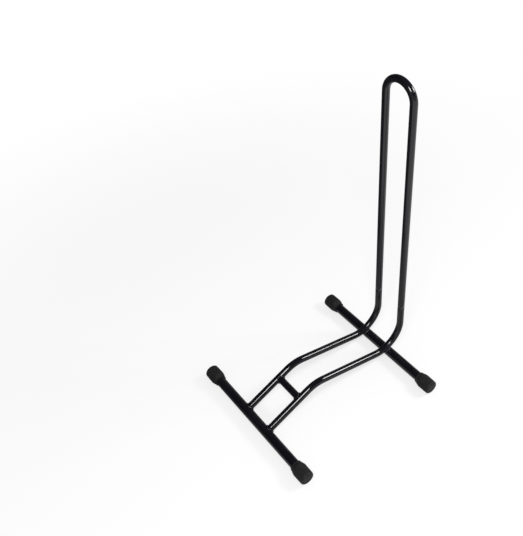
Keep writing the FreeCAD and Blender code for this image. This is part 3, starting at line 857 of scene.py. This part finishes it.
class Shader:
    """A material's nodes, made by calls."""

    def __init__(self, tree):
        self.tree = tree
        tree.nodes.clear()

    def add(self, kind, settings=None, inputs=None, output=0):
        """A node of a kind, its settings first, then its sockets."""
        node = self.tree.nodes.new(kind)
        for name, value in (settings or {}).items():
            setattr(node, name, value)
        for key, value in (inputs or {}).items():
            if isinstance(value, Value):
                self.tree.links.new(value.socket, node.inputs[key])
            else:
                node.inputs[key].default_value = value
        return Value(self, node.outputs[output]) if len(node.outputs) else node

    def noise(self, place, scale, detail=2.0, roughness=0.5, distortion=0.0):
        """Soft noise, finer with the scale, which may differ along X, Y and Z."""
        if isinstance(scale, tuple):
            place = self.add("ShaderNodeVectorMath", {"operation": "MULTIPLY"}, {
                0: place, 1: scale})
            scale = 1
        return self.add("ShaderNodeTexNoise", {}, {
            "Vector": place, "Scale": scale, "Detail": detail,
            "Roughness": roughness, "Distortion": distortion,
        })

    def between(self, value, low, high):
        """0 below low, 1 above high, smooth between."""
        return self.add("ShaderNodeMapRange", {"interpolation_type": "SMOOTHSTEP"}, {
            "Value": value, "From Min": low, "From Max": high,
        })

    def patches(self, place, scale, low, high, **more):
        """Noise made into patches: 0 where it is below low, 1 above high."""
        return self.between(self.noise(place, scale, **more), low, high)

    def mix(self, factor, first, second):
        """A blend of two colours; 6, 7 and 2 are the colour sockets."""
        return self.add("ShaderNodeMix", {"data_type": "RGBA"}, {
            0: factor, 6: first, 7: second}, output=2)

    def bump(self, height, distance):
        """A normal tilted by a height, 1 of which stands for a distance."""
        return self.add("ShaderNodeBump", {}, {"Height": height, "Distance": distance})

    def part(self, place, axis):
        """One of a place's three numbers."""
        return self.add("ShaderNodeSeparateXYZ", {}, {0: place}, output=axis)


def new_material(name):
    """An empty material and its shader."""
    material = bpy.data.materials.new(name)
    material.use_nodes = True
    return material, Shader(material.node_tree)


def with_alpha(value, lighter=1.0):
    """A colour with its alpha, and made lighter by a factor."""
    return (*(part * lighter for part in value), 1.0)


def finish_material(shader, inputs):
    """Adds the surface shader and the output."""
    surface = shader.add("ShaderNodeBsdfPrincipled", {}, inputs)
    shader.add("ShaderNodeOutputMaterial", {}, {"Surface": surface})


def paint_material(name, finish, lumps=0.0):
    """Gloss black stoved paint: orange peel, haze, faint dust and rubbing."""
    material, shader = new_material(name)
    place = shader.add("ShaderNodeTexCoord", output="Object")
    normal = shader.add("ShaderNodeNewGeometry", output="Normal")
    upward = shader.between(shader.part(normal, Z), 0.2, 0.95)
    peel = shader.noise(place, 330, detail=1.5)
    grit = shader.noise(place, 2600)
    haze = shader.patches(place, 14, 0.42, 0.72, detail=5, roughness=0.6)
    rub = shader.patches(
        place, 60, 0.55, 0.75, detail=6, roughness=0.7, distortion=0.6)
    specks = shader.patches(place, 900, 0.62, 0.78, detail=3, roughness=0.7)
    hair = shader.patches(place, (1500, 1500, 90), 0.70, 0.78)
    dust = upward * specks * 0.05 + upward * haze * 0.008
    scratch = hair * rub
    tint = shader.mix(
        haze * 0.5, with_alpha(finish.paint), with_alpha(finish.paint, lighter=1.25))
    tint = shader.mix(dust + scratch * 0.04, tint, with_alpha(finish.dust))
    roughness = (
        finish.paint_roughness + haze * 0.05 + rub * 0.05 + dust * 0.9 + scratch * 0.15
    )
    height = peel * 0.9 + grit * 0.06 + rub * 0.1
    if lumps:
        height = height + shader.noise(place, 700, detail=3, roughness=0.6) * lumps
    finish_material(shader, {
        "Base Color": tint, "Roughness": roughness, "IOR": 1.5,
        "Normal": shader.bump(height, 0.003 * MM),
    })
    return material


def plastic_material(name, finish):
    """Moulded cap plastic: fine spark texture, dusty grooves, scuffed foot."""
    material, shader = new_material(name)
    place = shader.add("ShaderNodeTexCoord", output="Object")
    groove = shader.add("ShaderNodeAttribute", {"attribute_name": "mark"}, output="Fac")
    spark = shader.noise(place, 2400, detail=3, roughness=0.65)
    grain = shader.noise(place, 700)
    flow = shader.patches(
        place, 45, 0.4, 0.75, detail=5, roughness=0.6, distortion=1.2)
    scuff = shader.patches(place, (260, 900, 260), 0.5, 0.72, detail=4, roughness=0.7)
    # the foot is the lowest few millimetres, with a ragged edge
    ragged = shader.part(place, Z) + (grain - 0.5) * (3 * MM)
    foot = 1 - shader.between(ragged, 0.6 * MM, 3.5 * MM)
    dust = groove * (0.03 + flow * 0.05) + foot * (0.05 + scuff * 0.3)
    dust = dust + flow * scuff * 0.02
    tint = shader.mix(
        flow * 0.6, with_alpha(finish.plastic), with_alpha(finish.plastic, lighter=1.3))
    tint = shader.mix(dust, tint, with_alpha(finish.dust))
    roughness = finish.plastic_roughness + spark * 0.1 + groove * 0.1
    roughness = roughness + foot * 0.15 - flow * 0.05
    height = spark * 0.6 + grain * 0.4 + foot * scuff * 1.5
    finish_material(shader, {
        "Base Color": tint, "Roughness": roughness, "IOR": 1.46,
        "Specular IOR Level": 0.3, "Normal": shader.bump(height, 0.04 * MM),
    })
    return material


def steel_material(name, finish):
    """Bare drawn steel: fine lines along the sleeve, rub marks and a film."""
    material, shader = new_material(name)
    place = shader.add("ShaderNodeTexCoord", output="Object")
    lines = shader.noise(place, (3200, 3200, 60), detail=3, roughness=0.6)
    film = shader.patches(
        place, 90, 0.4, 0.7, detail=5, roughness=0.65, distortion=0.8)
    pits = shader.patches(place, 1500, 0.66, 0.8, detail=3, roughness=0.7)
    rings = shader.patches(place, (60, 60, 2200), 0.66, 0.76)
    tint = shader.mix(film * 0.45, with_alpha(finish.steel), with_alpha(finish.film))
    tint = shader.mix(pits * 0.6, tint, with_alpha(finish.pits))
    roughness = finish.steel_roughness + lines * 0.14 + film * 0.1 + rings * 0.12
    finish_material(shader, {
        "Base Color": tint, "Roughness": roughness, "Metallic": 1.0,
        "Normal": shader.bump(lines * 0.6 + rings * 0.3 - pits * 0.5, 0.02 * MM),
    })
    return material


# Name of the visible finish for each of the record's material slots
FINISHES = {
    "frame_paint": "gloss_black", "weld_paint": "bead_black",
    "cap_plastic": "moulded_grey", "bare_steel": "drawn_steel",
}
BEAD_LUMPS = 0.6                   # height of the lumps in the paint on a bead


def shared_material(slot):
    """The finish of a slot, made the first time that it is asked for."""
    name = FINISHES[slot]
    made = bpy.data.materials.get(name)
    if made:
        return made
    finish = bpy.context.scene.rack_finish
    if slot == "cap_plastic":
        return plastic_material(name, finish)
    if slot == "bare_steel":
        return steel_material(name, finish)
    return paint_material(name, finish, BEAD_LUMPS if slot == "weld_paint" else 0)


# ---------------------------------------------------------------- operators

class RACK_OT_hoop(Operator):
    """Builds the hoop's tube"""

    bl_idname = "rack.hoop"
    bl_label = "Hoop"

    def execute(self, context):
        tubes = context.scene.rack_tubes
        surface = tube_wall(
            cross_plane(LEG_X), hoop_route(), TUBE_RADIUS, tubes.wall, tubes.around,
            tubes.bevel, flattening=tubes.flattening,
        )
        add_piece("hoop_tube", surface, "hoop", "hoop", "frame_paint")
        return {"FINISHED"}


class RACK_OT_rails(Operator):
    """Builds the two bent rails"""

    bl_idname = "rack.rails"
    bl_label = "Rails"

    def execute(self, context):
        tubes = context.scene.rack_tubes
        cope = CROSS_RADIUS + tubes.touch_gap
        for word, side in SIDES.items():
            surface = tube_wall(
                upright_plane(side * LEG_Y), rail_route(tubes), TUBE_RADIUS, tubes.wall,
                tubes.around, tubes.bevel, copes=(cope, 0),
            )
            add_piece(
                f"{word}_rail_tube", surface, "base", f"{word}_rail", "frame_paint")
        return {"FINISHED"}


class RACK_OT_cross_tubes(Operator):
    """Builds the front and rear cross tubes, the rear one with its vent"""

    bl_idname = "rack.cross_tubes"
    bl_label = "Cross tubes"

    def execute(self, context):
        tubes = context.scene.rack_tubes
        route = straight_route(-CROSS_LENGTH / 2, CROSS_LENGTH)
        front = tube_wall(
            cross_plane(FRONT_X, AXIS_Z), route, CROSS_RADIUS, tubes.wall, tubes.around,
            tubes.cross_bevel,
        )
        add_piece("front_tube", front, "base", "front_cross_tube", "frame_paint")
        rear = vented_tube(tubes, context.scene.rack_vent)
        add_piece("rear_tube", rear, "base", "rear_cross_tube", "frame_paint")
        return {"FINISHED"}


class RACK_OT_crossbar(Operator):
    """Builds the short bar between the rails"""

    bl_idname = "rack.crossbar"
    bl_label = "Crossbar"

    def execute(self, context):
        surface = coped_bar(context.scene.rack_tubes)
        add_piece("bar_tube", surface, "base", "crossbar", "frame_paint")
        return {"FINISHED"}


class RACK_OT_sleeves(Operator):
    """Builds the bare sleeves inside the joint between hoop and rails"""

    bl_idname = "rack.sleeves"
    bl_label = "Sleeves"

    def execute(self, context):
        tubes = context.scene.rack_tubes
        low, high = (corner.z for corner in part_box("left_spigot"))
        for word, side in SIDES.items():
            route = Route((side * LEG_Y, low), math.pi / 2, [(high - low, 0)])
            surface = tube_wall(
                cross_plane(LEG_X), route, SPIGOT_RADIUS, tubes.sleeve_wall,
                tubes.around, tubes.sleeve_bevel,
            )
            add_piece(f"{word}_sleeve", surface, "base", f"{word}_spigot", "bare_steel")
        return {"FINISHED"}


class RACK_OT_end_caps(Operator):
    """Builds the four ribbed end caps"""

    bl_idname = "rack.end_caps"
    bl_label = "End caps"

    def execute(self, context):
        for place, x in (("front", FRONT_X), ("rear", REAR_X)):
            for word, side in SIDES.items():
                surface, marks = ribbed_cap(context.scene.rack_caps, x, side)
                add_piece(
                    f"{place}_{word}_foot", surface, "base", f"{place}_{word}_cap",
                    "cap_plastic", marks,
                )
        return {"FINISHED"}


class RACK_OT_beads(Operator):
    """Builds the rippled beads at the joints"""

    bl_idname = "rack.beads"
    bl_label = "Weld beads"

    def execute(self, context):
        tubes, beads = context.scene.rack_tubes, context.scene.rack_beads
        _, along, above = rail_climb(tubes)
        for word, side in SIDES.items():
            across = np.array([0, side, 0])
            made = {
                f"weld_front_{word}": saddle_bead(
                    np.array([FRONT_X, side * LEG_Y, AXIS_Z]), along, above, across,
                    TUBE_RADIUS, CROSS_RADIUS, beads.radius, beads),
                f"weld_crossbar_{word}": saddle_bead(
                    np.array([BAR_X, side * LEG_Y, BAR_Z]), -across, above, along,
                    TUBE_RADIUS, TUBE_RADIUS + beads.lift, 0.95 * beads.radius, beads),
                f"weld_rear_{word}_inner": seat_bead(tubes, beads, side, -side),
                f"weld_rear_{word}_outer": seat_bead(tubes, beads, side, side),
            }
            for node, (surface, marks) in made.items():
                name = node.replace("weld", "bead")
                add_piece(name, surface, "base", node, "weld_paint", marks)
        return {"FINISHED"}


class RACK_OT_stage(Operator):
    """Builds the floor, the lights, the surroundings and the camera"""

    bl_idname = "rack.stage"
    bl_label = "Stage"

    def execute(self, context):
        stage = context.scene.rack_stage
        make_floor(stage)
        make_world(stage)
        make_lights(stage)
        make_camera(stage)
        return {"FINISHED"}


# Where the stage's tones begin and end to change, on the floor in metres
FLOOR_FADE = (0.45, 1.6)           # from the middle out, to plain white as seen
# FLOOR_CLEAR and FLOOR_SHADE place painted shade in the floor's glow as mirrored in the
# paint
FLOOR_CLEAR = (0.15, 0.6)          # from the middle out, to its full tone in the paint
FLOOR_SHADE = (-0.1, 0.35)         # toward the dark side
WALL_TOP = (0.05, 0.5)             # height of a direction, from wall to ceiling
WALL_SHADE = (0.2, 0.85)           # how far a direction points to the dark side
# The way from the point that both lamps are aimed at, and the distance
LAMP_AIM = (0, 0, 0.1)
KEY_WAY, KEY_DISTANCE = (-0.36, -0.42, 0.83), 2.1
BACK_WAY, BACK_DISTANCE = (0.72, -0.32, 0.61), 2.3


def background_rays(shader):
    """Two masks: rays that look straight or through glass, and mirrored rays."""
    path = "ShaderNodeLightPath"
    direct = shader.add(path, output="Is Camera Ray") + shader.add(
        path, output="Is Transmission Ray")
    return direct, shader.add(path, output="Is Glossy Ray")


def toward_shade(shader, place, stage):
    """How far a place or a direction lies toward the dark side."""
    heading = (math.cos(stage.shade_heading), math.sin(stage.shade_heading), 0)
    return shader.add("ShaderNodeVectorMath", {"operation": "DOT_PRODUCT"}, {
        0: place, 1: heading}, output="Value")


def make_floor(stage):
    """A flat disc: rings of points, radius growing as the square of the step."""
    rings, around, drop = 24, 96, 0.05 * MM
    radius = stage.floor_radius * (np.arange(rings + 1) / rings) ** 2
    angle = TURN * np.arange(around) / around
    points = np.stack([
        radius[:, None] * np.cos(angle), radius[:, None] * np.sin(angle),
        np.full((rings + 1, around), -drop),
    ], axis=-1).reshape(-1, 3)
    points, whole, triangles, _ = weld(
        points, grid_quads(rings + 1, around, False, True)[:, ::-1])
    mesh = bpy.data.meshes.new("floor")
    mesh.from_pydata(points.tolist(), [], whole.tolist() + triangles.tolist())
    floor = bpy.data.objects.new("floor", mesh)
    bpy.context.scene.collection.objects.link(floor)
    mesh.materials.append(floor_material(stage))


def floor_material(stage):
    """Matte where light falls; a glow of its own where it is looked at.

    Seen straight, it is part matte by the rack and all glow far off. In the
    paint it is all glow, with painted shade: dimmed by the rack and toward
    the dark side.
    """
    material, shader = new_material("floor")
    place = shader.add("ShaderNodeTexCoord", output="Object")
    away = shader.add(
        "ShaderNodeVectorMath", {"operation": "LENGTH"}, {0: place}, output="Value")
    fade = shader.between(away, *FLOOR_FADE)
    clear = shader.between(away, *FLOOR_CLEAR)
    shade = shader.between(toward_shade(shader, place, stage), *FLOOR_SHADE)
    tooth = shader.noise(place, 300, detail=3)
    tint = shader.mix(
        tooth * 0.3, with_alpha(stage.floor), with_alpha(stage.floor, lighter=0.985))
    matte = shader.add("ShaderNodeBsdfDiffuse", {}, {"Color": tint})
    direct, mirrored = background_rays(shader)
    # painted shade in the floor's reflection: its glow is dimmer by the rack and darker
    # toward the dark side
    painted_shade_by_rack = stage.painted_shade_near_mirror + clear * (1 - stage.painted_shade_near_mirror)
    tone = painted_shade_by_rack * (1 - shade * stage.shade_depth)
    seen = shader.mix(
        mirrored * (1 - tone), with_alpha((1, 1, 1)), with_alpha((0, 0, 0)))
    glow = shader.add("ShaderNodeEmission", {}, {"Color": seen, "Strength": 1.0})
    factor = direct * (stage.near_white + fade * (1 - stage.near_white)) + mirrored
    mixed = shader.add("ShaderNodeMixShader", {}, {0: factor, 1: matte, 2: glow})
    shader.add("ShaderNodeOutputMaterial", {}, {"Surface": mixed})
    return material


def make_world(stage):
    """White where it is looked at; in the paint, low walls under a dim ceiling.

    On everything else it shines with the ambient strength.
    """
    world = bpy.data.worlds.new("studio")
    world.use_nodes = True
    bpy.context.scene.world = world
    shader = Shader(world.node_tree)
    direct, mirrored = background_rays(shader)
    place = shader.add("ShaderNodeTexCoord", output="Generated")
    walls = 1 - shader.between(shader.part(place, Z), *WALL_TOP)
    shade = shader.between(toward_shade(shader, place, stage), *WALL_SHADE)
    shown = stage.ceiling_mirror + walls * (stage.horizon_mirror - stage.ceiling_mirror)
    shown = shown * (1 - shade * stage.shade_depth)
    strength = stage.ambient + mirrored * (shown - stage.ambient)
    strength = strength + direct * (1 - strength)
    surround = shader.add("ShaderNodeBackground", {}, {
        "Color": with_alpha((1, 1, 1)), "Strength": strength})
    shader.add("ShaderNodeOutputWorld", {}, {"Surface": surround})


def add_lamp(name, way, distance, side, white_share):
    """A square lamp aimed at the rack.

    A lamp of P watts at a distance d lights a floor under it, tilted by c, to
    P c / (4 pi d^2) of plain white, so its power follows from the share.
    """
    direction = Vector(way).normalized()
    lamp = bpy.data.lights.new(name, "AREA")
    lamp.shape, lamp.size = "SQUARE", side
    lamp.energy = white_share * 4 * math.pi * distance**2 / direction.z
    lit = bpy.data.objects.new(name, lamp)
    lit.location = Vector(LAMP_AIM) + direction * distance
    lit.rotation_mode = "QUATERNION"
    lit.rotation_quaternion = direction.to_track_quat("Z", "Y")
    bpy.context.scene.collection.objects.link(lit)


def make_lights(stage):
    """A soft key lamp high on the near side and a weaker one at the back."""
    add_lamp("key", KEY_WAY, KEY_DISTANCE, stage.key_size, stage.key_share)
    add_lamp("back", BACK_WAY, BACK_DISTANCE, stage.back_size, stage.back_share)


def make_camera(stage):
    """The photo's view, with the shift that its framing needs."""
    back = Vector((
        math.sin(stage.azimuth) * math.cos(stage.elevation),
        -math.cos(stage.azimuth) * math.cos(stage.elevation),
        math.sin(stage.elevation),
    ))
    level = (-back).cross(Vector((0, 0, 1))).normalized()
    upright = level.cross(-back)
    cosine, sine = math.cos(stage.roll), math.sin(stage.roll)
    right = level * cosine + upright * sine
    up = upright * cosine - level * sine
    long_side = max(PHOTO_SIZE)
    lens = bpy.data.cameras.new("camera")
    lens.sensor_width = 36         # mm
    lens.lens = stage.focal_pixels / long_side * lens.sensor_width
    lens.shift_x = -stage.shift_pixels[0] / long_side
    lens.shift_y = stage.shift_pixels[1] / long_side
    lens.clip_start, lens.clip_end = 0.01, 100
    camera = bpy.data.objects.new("camera", lens)
    turned = Matrix((right, up, back)).transposed().to_4x4()
    camera.matrix_world = Matrix.Translation(Vector(stage.place)) @ turned
    bpy.context.scene.collection.objects.link(camera)
    bpy.context.scene.camera = camera


OPERATORS = (
    RACK_OT_hoop, RACK_OT_rails, RACK_OT_cross_tubes, RACK_OT_crossbar,
    RACK_OT_sleeves, RACK_OT_end_caps, RACK_OT_beads, RACK_OT_stage,
)


class RACK_PT_panel(Panel):
    """Lists the rack's pieces and its stage"""

    bl_idname = "RACK_PT_panel"
    bl_label = "Floor Rack"
    bl_space_type = "VIEW_3D"
    bl_region_type = "UI"
    bl_category = "Rack"

    def draw(self, context):
        for operator in OPERATORS:
            self.layout.operator(operator.bl_idname)


def register():
    for group in (*GROUPS.values(), *OPERATORS, RACK_PT_panel):
        bpy.utils.register_class(group)
    for name, group in GROUPS.items():
        setattr(bpy.types.Scene, name, PointerProperty(type=group))


def unregister():
    for name in GROUPS:
        delattr(bpy.types.Scene, name)
    for group in reversed((*GROUPS.values(), *OPERATORS, RACK_PT_panel)):
        bpy.utils.unregister_class(group)


def main():
    """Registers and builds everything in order."""
    register()
    bpy.context.scene.view_settings.view_transform = "Standard"
    for operator in OPERATORS:
        group, name = operator.bl_idname.split(".")
        getattr(getattr(bpy.ops, group), name)()


if __name__ == "__main__":
    main()
